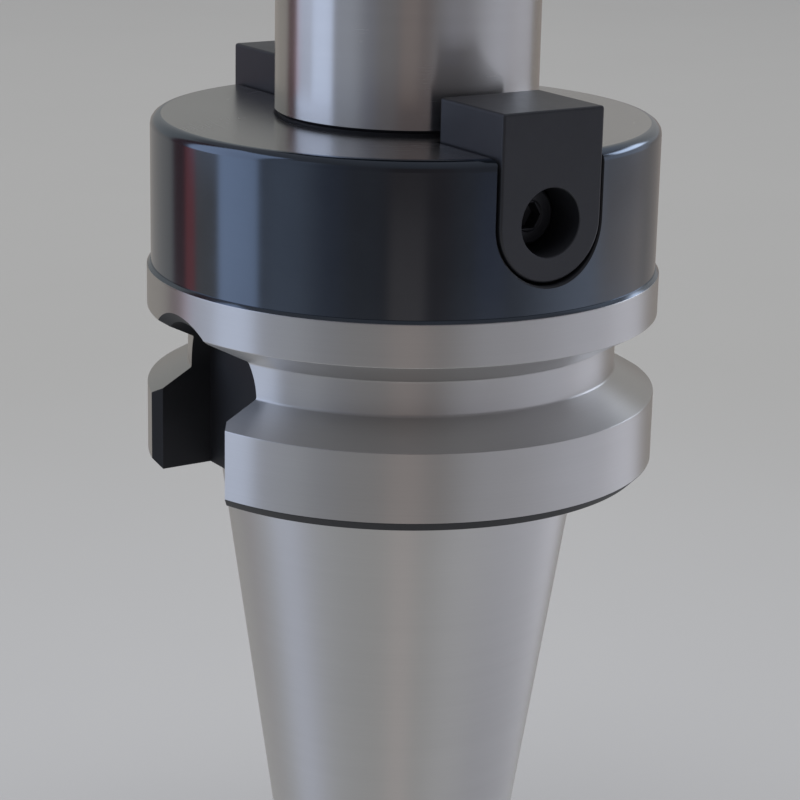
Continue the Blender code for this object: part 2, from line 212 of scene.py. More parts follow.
class ClampScrewSizes(PropertyGroup):
    """Sizes of the screw that clamps the cutter on the pilot."""

    head_height: length("Head height", "Height of the wide head", 0.009)
    head_edge: length("Head edge", "Broken edge of the wide head", 0.0008)
    dish_diameter: length("Dish diameter", "Shallow dish in the head's face", 0.025)
    dish_depth: length("Dish depth", "Depth of the dish and width of its slope", 0.0005)
    thread_diameter: length("Thread diameter", "Outside of the thread", 0.0158)
    thread_core: length("Thread core", "Core of the thread", 0.0136)
    thread_pitch: length("Thread pitch", "Pitch of the thread", 0.002)
    socket_flats: length("Socket flats", "Width of the hexagon socket", 0.014)
    socket_depth: length("Socket depth", "Depth of the hexagon socket", 0.007)
    socket_mouth: length("Socket mouth", "Width of the bevel round the socket", 0.0008)


class SteelColours(PropertyGroup):
    """Colours and gloss of the steels."""

    bright: colour("Bright steel", "Ground and turned steel", (0.58, 0.575, 0.57))
    black: colour("Blackened steel", "Glossy black oxide on the body", (0.078, 0.092, 0.112))
    matte: colour("Matte black", "Drive slots, keys and screws", (0.034, 0.036, 0.043))
    slot_shade: share("Slot shade", "Tone of the drive slots against matte black", 0.65)
    bore_shade: share("Bore shade", "Tone of the bores against bright steel", 0.5)
    clamp_shade: share("Clamp shade", "Tone of the clamp screw's head against the body", 0.6)
    pilot_roughness: share("Pilot roughness", "Gloss of the ground pilot", 0.26)
    rim_roughness: share("Rim roughness", "Gloss of the turned flange", 0.34)
    taper_roughness: share("Taper roughness", "Gloss of the ground taper", 0.36)
    seat_roughness: share("Seat roughness", "Gloss of the ground cutter seat", 0.26)
    bore_roughness: share("Bore roughness", "Gloss of the bores", 0.35)
    body_roughness: share("Body roughness", "Gloss of the blackened body", 0.13)
    clamp_roughness: share("Clamp roughness", "Gloss of the clamp screw's head", 0.30)
    thread_roughness: share("Thread roughness", "Gloss of the clamp screw's shank", 0.38)
    slot_roughness: share("Slot roughness", "Gloss of the milled slots and pockets", 0.55)
    key_roughness: share("Key roughness", "Gloss of the drive keys", 0.38)
    cap_roughness: share("Cap screw roughness", "Gloss of the key screws", 0.34)


class StudioSettings(PropertyGroup):
    """Floor, camera and light."""

    # The floor's near colour and its darker far colour paint a falloff of light away from the holder
    floor_colour: colour("Floor colour", "Plain pale floor round the holder", (0.455, 0.455, 0.455))
    shaded_far_colour: colour("Far floor colour", "The same floor further off", (0.39, 0.386, 0.372))
    floor_radius: length("Floor radius", "Reach of the floor", 3.5)
    camera_distance: length("Camera distance", "From the camera to its aim", 0.3099)
    lens: FloatProperty(name="Lens", description="Focal length", default=111.07, unit="CAMERA")
    lamp_width: length("Lamp width", "Side of the square overhead lamp", 2.2)
    soft_light: FloatProperty(
        name="Soft light", description="Power of the overhead lamp", default=36.5, unit="POWER"
    )


# Places of a Mix node's two colours and of their mixture
MIX_FIRST, MIX_SECOND, MIX_RESULT = 6, 7, 2

# Width over which an edge of a blackened piece is worn, how much paler it is there, how much of that
# every edge shows, and how flat the surface is where wear is full and where it ends
WORN_EDGE = 0.00015
WORN_SHADE = 2.6
WORN_LEAST = 0.2
WORN_FLATNESS = (0.80, 0.97)

# How much a step in radius moves a turning pattern against a step in height, so that no cone is plain
FACE_SHARE = 1.37

# Pitch of a turned steel's bands in fine lines, and the quarter turn that lays highlights across them
BAND_PITCH = 9
QUARTER_TURN = 0.25

# Pitch and depth of each turned finish's lines, and how far they draw a highlight out
LINES = {
    "ground_pilot": (0.00012, 1.2e-6, 0.85),
    "turned_flange": (0.00022, 2.5e-6, 0.88),
    "ground_taper": (0.00016, 1.8e-6, 0.6),
    "ground_seat": (0.00018, 1.0e-6, 0.3),
    "bored_steel": (0.00020, 2.0e-6, 0.0),
    "blackened_body": (0.00020, 0.8e-6, 0.0),
    "blackened_clamp_head": (0.00025, 2.0e-6, 0.0),
}

# Tone of a turned steel, what rings and bands add to it, and what rings and haze add to its roughness
TURNED_TONE, RING_TONE, BAND_TONE, HAZE_SPREAD = 0.94, 0.07, 0.05, 0.05

# Tone of a blackened steel, and what a slant, clouds and lines add to it
FILM_TONE, SLANT_TONE, CLOUD_TONE, LINE_TONE = 0.85, 2, 0.22, 0.08

# How far a blackened steel's roughness starts below its mean, and what clouds and lines add to it
FILM_POLISH, CLOUD_SPREAD, LINE_SPREAD = 0.03, 0.05, 0.02

# Tone of a matte steel, what grain and clouds each add to it and to its roughness, and the grain's depth
MATTE_TONE, GRAIN_TONE, MATTE_SPREAD = 0.8, 0.2, 0.06
GRAIN_DEPTH = 2e-6


class Value:
    """A shader socket in arithmetic: each operator on it adds a Math node."""

    def __init__(self, sheet, socket):
        self.sheet = sheet
        self.socket = socket

    def output(self, name):
        """Another output of the same node."""
        return Value(self.sheet, self.socket.node.outputs[name])

    def math(self, operation, first, second=0.0):
        return self.sheet.add("ShaderNodeMath", {"operation": operation}, {0: first, 1: second})

    def __add__(self, other):
        return self.math("ADD", self, other)

    def __radd__(self, other):
        return self.math("ADD", other, self)

    def __sub__(self, other):
        return self.math("SUBTRACT", self, other)

    def __rsub__(self, other):
        return self.math("SUBTRACT", other, self)

    def __mul__(self, other):
        return self.math("MULTIPLY", self, other)

    def __rmul__(self, other):
        return self.math("MULTIPLY", other, self)

    def __pow__(self, other):
        return self.math("POWER", self, other)


class Sheet:
    """The node tree of one material or world, to which nodes are added."""

    def __init__(self, tree):
        self.tree = tree

    def add(self, kind, settings=None, sockets=None, output=0):
        """Adds a node of this type, with its settings first and then its sockets' values or links."""
        node = self.tree.nodes.new(kind)
        for name, value in (settings or {}).items():
            setattr(node, name, value)
        self.fill(node, sockets or {})
        return Value(self, node.outputs[output]) if len(node.outputs) else node

    def fill(self, node, sockets):
        """Sets or links the sockets of a node."""
        for name, value in sockets.items():
            if isinstance(value, Value):
                self.tree.links.new(value.socket, node.inputs[name])
            else:
                node.inputs[name].default_value = value

    def rise(self, value, start, end):
        """Goes smoothly from 0 at start to 1 at end."""
        return self.add(
            "ShaderNodeMapRange",
            {"interpolation_type": "SMOOTHSTEP"},
            {"Value": value, "From Min": start, "From Max": end},
        )

    def blend(self, amount, first, second, label=""):
        """Mixes two colours, each a plain one or a link."""
        sockets = {"Factor": amount}
        for place, shade in ((MIX_FIRST, first), (MIX_SECOND, second)):
            sockets[place] = shade if isinstance(shade, Value) else (*shade, 1.0)
        settings = {"data_type": "RGBA", "clamp_factor": True, "label": label}
        return self.add("ShaderNodeMix", settings, sockets, output=MIX_RESULT)

    def tint(self, shade, amount):
        """Makes a colour lighter or darker by a factor that varies over the surface."""
        if not isinstance(shade, Value):
            shade = self.add("ShaderNodeCombineXYZ", None, dict(enumerate(shade)))
        return self.add("ShaderNodeVectorMath", {"operation": "SCALE"}, {0: shade, "Scale": amount})

    def place(self):
        """The point on the piece, in metres."""
        return self.add("ShaderNodeTexCoord", output="Object")

    def noise(self, vector, scale=1.0, detail=2.0, roughness=0.5):
        return self.add(
            "ShaderNodeTexNoise",
            None,
            {"Vector": vector, "Scale": scale, "Detail": detail, "Roughness": roughness},
        )

    def bump(self, height, strength, distance):
        return self.add(
            "ShaderNodeBump", None, {"Height": height, "Strength": strength, "Distance": distance}
        )


def turned_place(sheet, slow, fine):
    """Noise coordinates that run slowly round the axis and quickly across the tool's path."""
    parts = sheet.add("ShaderNodeSeparateXYZ", None, {"Vector": sheet.place()})
    across, along, height = parts, parts.output("Y"), parts.output("Z")
    radius = (across * across + along * along) ** 0.5
    path = (height + radius * FACE_SHARE) * fine
    return sheet.add("ShaderNodeCombineXYZ", None, {0: across * slow, 1: along * slow, 2: path})


def new_material(name, shade):
    material = bpy.data.materials.new(name)
    material.use_nodes = True
    material.diffuse_color = (*shade, 1.0)
    tree = material.node_tree
    return material, Sheet(tree), tree.nodes["Principled BSDF"]


def scaled(shade, factor):
    """A plain colour times a number."""
    return tuple(factor * part for part in shade)


def turned_steel(name, shade, roughness):
    """Steel turned or ground round the axis: fine rings, faint streaks and a little handling haze."""
    material, sheet, shader = new_material(name, shade)
    line_pitch, line_depth, anisotropy = LINES[name]
    ring_place = turned_place(sheet, slow=8.0, fine=1 / line_pitch)
    rings = sheet.noise(ring_place, detail=3.0, roughness=0.6)
    bands = sheet.noise(turned_place(sheet, slow=30.0, fine=1 / (line_pitch * BAND_PITCH)))
    haze = sheet.noise(sheet.place(), scale=90.0, detail=3.0, roughness=0.55)
    sheet.fill(
        shader,
        {
            "Base Color": sheet.tint(shade, TURNED_TONE + rings * RING_TONE + bands * BAND_TONE),
            "Metallic": 1.0,
            "Roughness": (roughness - HAZE_SPREAD) + rings * HAZE_SPREAD + haze * HAZE_SPREAD,
            "Anisotropic": anisotropy,
            "Anisotropic Rotation": QUARTER_TURN,
            "Normal": sheet.bump(rings, strength=0.5, distance=line_depth),
        },
    )
    return material


def blackened_steel(name, shade, roughness):
    """Glossy black oxide over fine turning, faintly clouded, that mirrors more at a slant."""
    material, sheet, shader = new_material(name, shade)
    line_pitch, line_depth, anisotropy = LINES[name]
    ring_place = turned_place(sheet, slow=6.0, fine=1 / line_pitch)
    rings = sheet.noise(ring_place, detail=3.0, roughness=0.6)
    clouds = sheet.noise(sheet.place(), scale=140.0, detail=4.0, roughness=0.6)
    slant = sheet.add("ShaderNodeLayerWeight", None, {"Blend": 0.5}, "Facing")
    level = slant * SLANT_TONE + FILM_TONE + clouds * CLOUD_TONE + rings * LINE_TONE
    rough = (roughness - FILM_POLISH) + clouds * CLOUD_SPREAD + rings * LINE_SPREAD
    sheet.fill(
        shader,
        {
            "Base Color": sheet.tint(shade, level),
            "Metallic": 1.0,
            "Roughness": rough,
            "Anisotropic": anisotropy,
            "Normal": sheet.bump(rings, strength=0.4, distance=line_depth),
        },
    )
    return material


def matte_steel(name, shade, roughness):
    """Dull black oxide over milled or forged steel, with a fine grain and paler worn edges."""
    material, sheet, shader = new_material(name, shade)
    grain = sheet.noise(sheet.place(), scale=900.0, detail=3.0, roughness=0.6)
    clouds = sheet.noise(sheet.place(), scale=160.0, detail=3.0)
    softened = sheet.add("ShaderNodeBevel", {"samples": 4}, {"Radius": WORN_EDGE})
    normal = sheet.add("ShaderNodeNewGeometry", output="Normal")
    flatness = sheet.add(
        "ShaderNodeVectorMath", {"operation": "DOT_PRODUCT"}, {0: softened, 1: normal}, "Value"
    )
    patches = WORN_LEAST + clouds * (1 - WORN_LEAST)
    worn = (1 - sheet.rise(flatness, *WORN_FLATNESS)) * patches
    base = sheet.tint(shade, MATTE_TONE + grain * GRAIN_TONE + clouds * GRAIN_TONE)
    sheet.fill(
        shader,
        {
            "Base Color": sheet.blend(worn, base, scaled(shade, WORN_SHADE)),
            "Metallic": 0.3,
            "Roughness": (roughness - MATTE_SPREAD) + grain * MATTE_SPREAD + clouds * MATTE_SPREAD,
            "Specular IOR Level": 0.5,
            "Normal": sheet.bump(grain, strength=0.6, distance=GRAIN_DEPTH),
        },
    )
    return material


def polar(radius, index, steps, height):
    """The point at this one of so many equal steps round Z."""
    angle = 2 * math.pi * index / steps
    return radius * math.cos(angle), radius * math.sin(angle), height


def rounded(corners):
    """(radius, height, finish) outline of (radius, height, edge, finish) corners.

    A corner whose edge isn't 0 is rounded to an arc of that radius.
    """
    outline = []
    for index, (radius, height, edge, finish) in enumerate(corners):
        if edge <= 0.0:
            outline.append((radius, height, finish))
            continue
        here = Vector((radius, height))
        before = (Vector(corners[index - 1][:2]) - here).normalized()
        after = (Vector(corners[index + 1][:2]) - here).normalized()
        half = before.angle(after) / 2
        centre = here + (before + after).normalized() * (edge / math.sin(half))
        start = here + before * (edge / math.tan(half)) - centre
        end = here + after * (edge / math.tan(half)) - centre
        turn = start.angle(end)
        for step in range(ARC_STEPS + 1):
            near = math.sin(turn * (1 - step / ARC_STEPS)) / math.sin(turn)
            far = math.sin(turn * step / ARC_STEPS) / math.sin(turn)
            point = centre + start * near + end * far
            outline.append((point.x, point.y, finish))
    return outline


def turned(outline, steps, knurl=None):
    """Turns (radius, height, finish) points, whose ends lie on the Z axis, into a closed bmesh.

    A knurl is (lowest, highest, depth): between those heights every second facet edge is sunk.
    """
    bm = bmesh.new()
    low, high, depth = knurl or (1.0, -1.0, 0.0)
    rings = []
    for radius, height, _ in outline:
        ring = []
        for index in range(steps if radius > AXIS_LIMIT else 1):
            sunk = depth if low < height < high and index % 2 else 0.0
            ring.append(bm.verts.new(polar(radius - sunk, index, steps, height)))
        rings.append(ring)
    for (*_, finish), ring, following in zip(outline, rings, rings[1:]):
        for index in range(steps):
            after = (index + 1) % steps
            corners = (
                ring[index % len(ring)],
                ring[after % len(ring)],
                following[after % len(following)],
                following[index % len(following)],
            )
            face = bm.faces.new(dict.fromkeys(corners))
            face.material_index = finish
    return bm


def lofted(outlines, finish=0):
    """Closed bmesh through outlines of equal point count. One point repeated makes a tip."""
    bm = bmesh.new()
    rings = [[bm.verts.new(point) for point in outline] for outline in outlines]
    for ring, following in zip(rings, rings[1:]):
        for index in range(len(ring)):
            after = (index + 1) % len(ring)
            bm.faces.new((ring[index], ring[after], following[after], following[index]))
    bm.faces.new(reversed(rings[0]))
    bm.faces.new(rings[-1])
    for face in bm.faces:
        face.material_index = finish
    bmesh.ops.remove_doubles(bm, verts=bm.verts[:], dist=WELD_LIMIT)
    return bm


def u_outline(half_width, top, flare=None):
    """(side, height) points of a U: flat on top, a half circle about the origin below.

    A flare is (height, reach): from that height up the sides lean out by reach.
    """
    angles = [math.pi * step / BOWL_STEPS for step in range(BOWL_STEPS + 1)]
    bowl = [(half_width * math.cos(angle), -half_width * math.sin(angle)) for angle in angles]
    if flare is None:
        return [(half_width, top)] + bowl + [(-half_width, top)]
    height, reach = flare
    right = [(half_width + reach, height + reach), (half_width, height)]
    left = [(-side, level) for side, level in reversed(right)]
    return right + bowl + left


# Shares of one pitch at which a thread's root, flank and crest begin, and the crest's share there
THREAD_FORM = ((0.0, 0.0), (0.25, 0.0), (0.5625, 1.0), (0.6875, 1.0))

# A thread fades in and out within one turn divided by this
FADE_SHARE = 3


def threaded(core, outside, pitch, start, turns, ends, steps, finish=0):
    """A closed threaded rod round Z. Its thread starts at height start and winds down for some turns.

    The ends are the heights of its flat ends.
    """
    bm = bmesh.new()
    last = turns * steps
    columns = []
    for column in range(last + steps + 1):
        fade_out = max(0.0, FADE_SHARE * (last - column) / steps)
        fade = min(1.0, FADE_SHARE * column / steps, fade_out)
        points = []
        for place, rise in THREAD_FORM if column <= last else THREAD_FORM[:1]:
            radius = (core + (outside - core) * rise * fade) / 2
            height = start - pitch * (column / steps + place)
            points.append(bm.verts.new(polar(radius, column, steps, height)))
        columns.append(points)
    for column in range(last):
        near = columns[column] + columns[column + steps][:1]
        far = columns[column + 1] + columns[column + 1 + steps][:1]
        for index in range(len(THREAD_FORM)):
            bm.faces.new((near[index], far[index], far[index + 1], near[index + 1]))
    top, bottom = (
        [bm.verts.new(polar(core / 2, index, steps, height)) for index in range(steps)]
        for height in ends
    )
    upper = [columns[column][0] for column in range(steps)]
    lower = [columns[last + column][0] for column in range(steps + 1)]
    for index in range(steps - 1):
        bm.faces.new((top[index], top[index + 1], upper[index + 1], upper[index]))
    bm.faces.new((top[-1], top[0], *columns[0], columns[steps][0], upper[-1]))
    for index in range(1, steps):
        after = (index + 1) % steps
        bm.faces.new((lower[index], lower[index + 1], bottom[after], bottom[index]))
    bm.faces.new((lower[1], bottom[1], bottom[0], lower[steps], *reversed(columns[last])))
    bm.faces.new(top)
    bm.faces.new(bottom)
    for face in bm.faces:
        face.material_index = finish
    return bm


def screw_thread(core, outside, pitch, start, space, reach, steps, finish=0):
    """The threaded rod that joins a screw's plain shank. Its whole turns fill this space below start."""
    above, below = reach
    turns = int(space / pitch) - 1
    ends = (start + above, start - (turns + below) * pitch)
    return ("UNION", threaded(core, outside, pitch, start, turns, ends, steps, finish))


def hexagon(flats, height):
    """Corners of a hexagon of this width across flats at a height on Z."""
    corner = flats / math.sqrt(3)
    return [Vector(polar(corner, index, 6, height)) for index in range(6)]


def socket_tools(flats, top, depth, mouth, steps):
    """The hexagon broach with its drilled point and the bevel of its mouth, opening at height top."""
    floor = top - depth
    tip = Vector((0.0, 0.0, floor - flats / 2 / DRILL_POINT / 2))
    broach = lofted([hexagon(flats, top + OVERREACH), hexagon(flats, floor), [tip] * 6])
    corner = flats / math.sqrt(3)
    bevel = turned(
        [
            (0.0, top + OVERREACH, 0),
            (corner + mouth + OVERREACH, top + OVERREACH, 0),
            (corner, top - mouth, 0),
            (0.0, top - mouth, 0),
        ],
        steps,
    )
    return [("DIFFERENCE", broach), ("DIFFERENCE", bevel)]


def to_mesh(name, bm, materials=()):
    """Writes a bmesh to a mesh, with its normals outwards."""
    bmesh.ops.recalc_face_normals(bm, faces=bm.faces[:])
    mesh = bpy.data.meshes.new(name)
    bm.to_mesh(mesh)
    bm.free()
    for material in materials:
        mesh.materials.append(material)
    return mesh


def machined(name, bm, materials, tools, round_edges=None):
    """The smooth mesh of a blank with its edges rounded and each (operation, tool) applied."""
    scene = bpy.context.scene
    blank = bpy.data.objects.new(name, to_mesh(name, bm, materials))
    scene.collection.objects.link(blank)
    if round_edges:
        bevel = blank.modifiers.new("round_edges", "BEVEL")
        bevel.width = round_edges
        bevel.segments = 3
        bevel.limit_method = "ANGLE"
        bevel.angle_limit = ROUNDING_LIMIT
    helpers = []
    for operation, tool in tools:
        helper = bpy.data.objects.new(name + "_tool", to_mesh(name + "_tool", tool, materials))
        scene.collection.objects.link(helper)
        boolean = blank.modifiers.new("machining", "BOOLEAN")
        boolean.operation = operation
        boolean.solver = "EXACT"
        boolean.object = helper
        helpers.append(helper)
    cut_mesh = as_modified(blank)
    used = [tool.data for tool in helpers] + [blank.data]
    for helper in helpers:
        bpy.data.objects.remove(helper)
    blank.modifiers.clear()
    cut_mesh.shade_smooth()
    cut_mesh.set_sharp_from_angle(angle=SMOOTH_LIMIT)
    blank.data = cut_mesh
    weighting = blank.modifiers.new("weighted_normals", "WEIGHTED_NORMAL")
    weighting.keep_sharp = True
    mesh = as_modified(blank)
    bpy.data.objects.remove(blank)
    for spent in used + [cut_mesh]:
        bpy.data.meshes.remove(spent)
    mesh.name = name
    return mesh


def as_modified(made):
    """A new mesh of the object with its modifiers applied."""
    graph = bpy.context.evaluated_depsgraph_get()
    return bpy.data.meshes.new_from_object(made.evaluated_get(graph))


def add_piece(name, mesh, body, node):
    """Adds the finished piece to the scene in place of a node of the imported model."""
    piece = bpy.data.objects.new(name, mesh)
    bpy.context.scene.collection.objects.link(piece)
    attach(piece, body)
    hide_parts(node)


def seat_height(keys):
    """Height of the cutter seat."""
    return KEY_HIGH.z - keys.standout


def holder_corners(sizes, keys):
    """(radius, height, edge, finish) corners of the holder's half section, from the clamp bore down."""
    gauge = sizes.taper_length
    flange_low = gauge + sizes.flange_rise
    flange_high = flange_low + sizes.flange_thickness
    seat = seat_height(keys)
    top = HOLDER_HIGH.z
    flange = HOLDER_HIGH.x
    body = sizes.body_diameter / 2
    pilot = sizes.pilot_diameter / 2
    bore = sizes.clamp_bore / 2
    stud = sizes.stud_bore / 2
    spigot = sizes.spigot_diameter / 2
    edge = sizes.edge_break
    groove = gauge + sizes.groove_rise
    mouth = sizes.groove_mouth / 2
    root = flange - sizes.groove_depth
    root_half = mouth - sizes.groove_depth * GROOVE_FLANK

    def cone(height):
        return sizes.gauge_diameter / 2 + TAPER_SLOPE * (height - gauge)

    bore_floor = top - sizes.clamp_bore_depth
    neck_top = seat + sizes.neck_width
    neck = pilot - sizes.neck_depth
    lower_edge, upper_edge = sizes.flange_lower_edge, sizes.flange_upper_edge
    small_edge = sizes.small_end_edge
    return [
        (0.0, bore_floor - bore / DRILL_POINT, 0.0, BORE),
        (bore, bore_floor, 0.0, BORE),
        (bore, top - sizes.bore_mouth, 0.0, BORE),
        (bore + sizes.bore_mouth, top, edge, PILOT),
        (pilot - sizes.pilot_edge, top, edge, PILOT),
        (pilot, top - sizes.pilot_edge / PILOT_LEAD, 2 * edge, PILOT),
        # The undercut under the pilot takes the dark matte finish of the slots, darker than the bright
        # steel round it
        (pilot, neck_top, edge / 2, MILLED),
        (neck, neck_top - sizes.neck_depth, 0.0, MILLED),
        (neck, seat - sizes.neck_relief, 0.0, MILLED),
        (pilot + sizes.neck_relief, seat, 0.0, SEAT),
        (body, seat, sizes.body_edge, BODY),
        (body, flange_high, 0.0, BODY),
        (flange - upper_edge, flange_high, edge / 2, BODY),
        (flange, flange_high - upper_edge, edge, RIM),
        (flange, groove + mouth, edge, RIM),
        (root, groove + root_half, sizes.root_fillet, RIM),
        (root, groove - root_half, sizes.root_fillet, RIM),
        (flange, groove - mouth, edge, RIM),
        # The chamfer under the flange takes the same dark matte finish, darker than the turned rim round
        # it
        (flange, flange_low + lower_edge, edge, MILLED),
        (flange - lower_edge, flange_low, edge, RIM),
        (cone(flange_low), flange_low, 0.0, TAPER),
        (cone(small_edge), small_edge, edge, TAPER),
        (cone(0.0) - small_edge, 0.0, edge, TAPER),
        (spigot + sizes.spigot_mouth, 0.0, edge, BORE),
        (spigot, sizes.spigot_mouth, 0.0, BORE),
        (spigot, sizes.spigot_depth, 0.0, BORE),
        (stud, sizes.spigot_depth, 0.0, BORE),
        (stud, sizes.stud_depth, 0.0, BORE),
        (0.0, sizes.stud_depth + stud / DRILL_POINT, 0.0, BORE),
    ]


def slot_tool(sizes, side):
    """Cuts one drive slot: a flat floor, an arched upper end and broken edges wrapped on the flange."""
    gauge = sizes.taper_length
    centre = gauge + sizes.slot_centre_rise
    outer = HOLDER_HIGH.x
    chamfer = sizes.slot_chamfer
    depth = centre - (gauge + sizes.flange_rise) + OVERREACH

    def ring(offset, radius):
        outline = u_outline(sizes.slot_width / 2 + offset, depth)
        return [
            Vector((side * math.sqrt(radius**2 - across**2), across, centre - down))
            for across, down in outline
        ]

    inner = ring(0.0, outer - chamfer)
    grown = ring(2 * chamfer, outer + chamfer)
    floor = [Vector((side * sizes.slot_floor, point.y, point.z)) for point in inner]
    outside = [Vector((side * (outer + OVERREACH), point.y, point.z)) for point in grown]
    return ("DIFFERENCE", lofted([floor, inner, grown, outside], MILLED))


def key_place(keys, side):
    """Turns a shape made along +Z, with its top towards +Y, into its place at a drive key."""
    outward = Vector((0.0, side, 0.0))
    up = Vector((0.0, 0.0, 1.0))
    turn = Matrix((up.cross(outward), up, outward)).transposed().to_4x4()
    return Matrix.Translation((0.0, 0.0, seat_height(keys) - keys.screw_drop)) @ turn


def moved(bm, matrix):
    """The same bmesh, moved."""
    bmesh.ops.transform(bm, matrix=matrix, verts=bm.verts[:])
    return bm


def pocket_tools(sizes, keys, side):
    """Cuts one key pocket with its broken edges, and the tapped hole behind it."""
    body = sizes.body_diameter / 2
    break_size = keys.pocket_edge
    half_width = (KEY_HIGH.x - KEY_LOW.x) / 2 + SEAT_GAP
    inner = -KEY_HIGH.y - SEAT_GAP
    flare = (keys.screw_drop - break_size, OVERREACH + break_size)

    def ring(offset, radius):
        return [
            Vector((across, up, math.sqrt(radius**2 - min(abs(across), half_width) ** 2)))
            for across, up in u_outline(half_width + offset, 0.0, flare)
        ]

    wrapped = ring(0.0, body - break_size)
    grown = ring(2 * break_size, body + break_size)
    back = [Vector((point.x, point.y, inner)) for point in wrapped]
    outside = [Vector((point.x, point.y, body + OVERREACH)) for point in grown]
    pocket = lofted([back, wrapped, grown, outside], MILLED)
    shoulder = inner + SEAT_GAP + keys.web + SEAT_GAP
    end = shoulder - keys.shank_length - keys.hole_runout
    radius = keys.thread_diameter / 2 + THREAD_ROOM
    hole = turned(
        [
            (0.0, inner + OVERREACH, BORE),
            (radius, inner + OVERREACH, BORE),
            (radius, end, BORE),
            (0.0, end - radius / DRILL_POINT, BORE),
        ],
        HOLE_STEPS,
    )
    return [("DIFFERENCE", moved(tool, key_place(keys, side))) for tool in (pocket, hole)]


def tap(sizes, clamp, start, turns, ends):
    """The internal thread of a bore, as the shape that it takes away. Its core runs free in the bore."""
    core = sizes.clamp_bore - TAP_ROOM
    outside = clamp.thread_diameter + TAP_ROOM
    rod = threaded(core, outside, clamp.thread_pitch, start, turns, ends, THREAD_STEPS, BORE)
    return ("DIFFERENCE", rod)


def clamp_thread_start(clamp):
    """Height at which the clamp screw's thread begins, under its head."""
    return CLAMP_HIGH.z - clamp.head_height - 2 * clamp.thread_pitch


def steels(colours):
    """The holder's finishes in the order of their places."""
    bright = tuple(colours.bright)
    return [
        turned_steel("ground_pilot", bright, colours.pilot_roughness),
        turned_steel("turned_flange", bright, colours.rim_roughness),
        turned_steel("ground_taper", bright, colours.taper_roughness),
        blackened_steel("blackened_body", tuple(colours.black), colours.body_roughness),
        turned_steel("ground_seat", bright, colours.seat_roughness),
        matte_steel("milled_black", scaled(colours.matte, colours.slot_shade), colours.slot_roughness),
        turned_steel("bored_steel", scaled(bright, colours.bore_shade), colours.bore_roughness),
    ]


class HOLDER_OT_add_body(Operator):
    """Add the one-piece holder with its taper, grooved flange, blackened body and pilot"""

    bl_idname = "holder.add_body"
    bl_label = "Add Holder Body"

    def execute(self, context):
        scene = context.scene
        sizes, keys, clamp = scene.holder_sizes, scene.key_sizes, scene.clamp_screw_sizes
        blank = turned(rounded(holder_corners(sizes, keys)), sizes.steps)
        pitch = clamp.thread_pitch
        top = HOLDER_HIGH.z
        tools = [slot_tool(sizes, side) for side in (1, -1)]
        for side in (1, -1):
            tools += pocket_tools(sizes, keys, side)
        start = clamp_thread_start(clamp) + 3 * pitch
        ends = (top + 2 * pitch, top - sizes.clamp_bore_depth + TAP_RUNOUT)
        tools.append(tap(sizes, clamp, start, CLAMP_BORE_TURNS, ends))
        tools.append(tap(sizes, clamp, STUD_THREAD_TOP, STUD_BORE_TURNS, STUD_TAP_ENDS))
        mesh = machined("taper_holder", blank, steels(scene.steel_colours), tools)
        add_piece("taper_holder", mesh, "holder", "holder_body")
        return {"FINISHED"}


class HOLDER_OT_add_keys(Operator):
    """Add the two drive keys with their rounded lower ends and counterbored holes"""

    bl_idname = "holder.add_keys"
    bl_label = "Add Drive Keys"

    def execute(self, context):
        scene = context.scene
        keys, colours = scene.key_sizes, scene.steel_colours
        inner = -KEY_HIGH.y
        outer = -KEY_LOW.y
        finish = matte_steel("black_key", tuple(colours.matte), colours.key_roughness)
        recess = keys.recess / 2
        flare = keys.recess_edge
        through = keys.through_hole / 2
        shoulder = inner + keys.web
        outline = u_outline(KEY_HIGH.x, keys.screw_drop + keys.standout)
        for place, side in SIDES:
            rings = [[Vector((x, y, distance)) for x, y in outline] for distance in (inner, outer)]
            hole = turned(
                [
                    (0.0, outer + OVERREACH, 0),
                    (recess + flare + OVERREACH, outer + OVERREACH, 0),
                    (recess, outer - flare, 0),
                    (recess, shoulder, 0),
                    (through + SMALL_EDGE, shoulder, 0),
                    (through, shoulder - SMALL_EDGE, 0),
                    (through, inner - OVERREACH, 0),
                    (0.0, inner - OVERREACH, 0),
                ],
                keys.steps,
            )
            name = "drive_key_block_" + place
            mesh = machined(name, lofted(rings), [finish], [("DIFFERENCE", hole)], keys.edge)
            mesh.transform(key_place(keys, side))
            add_piece(name, mesh, "holder", "drive_key_" + place)
        return {"FINISHED"}


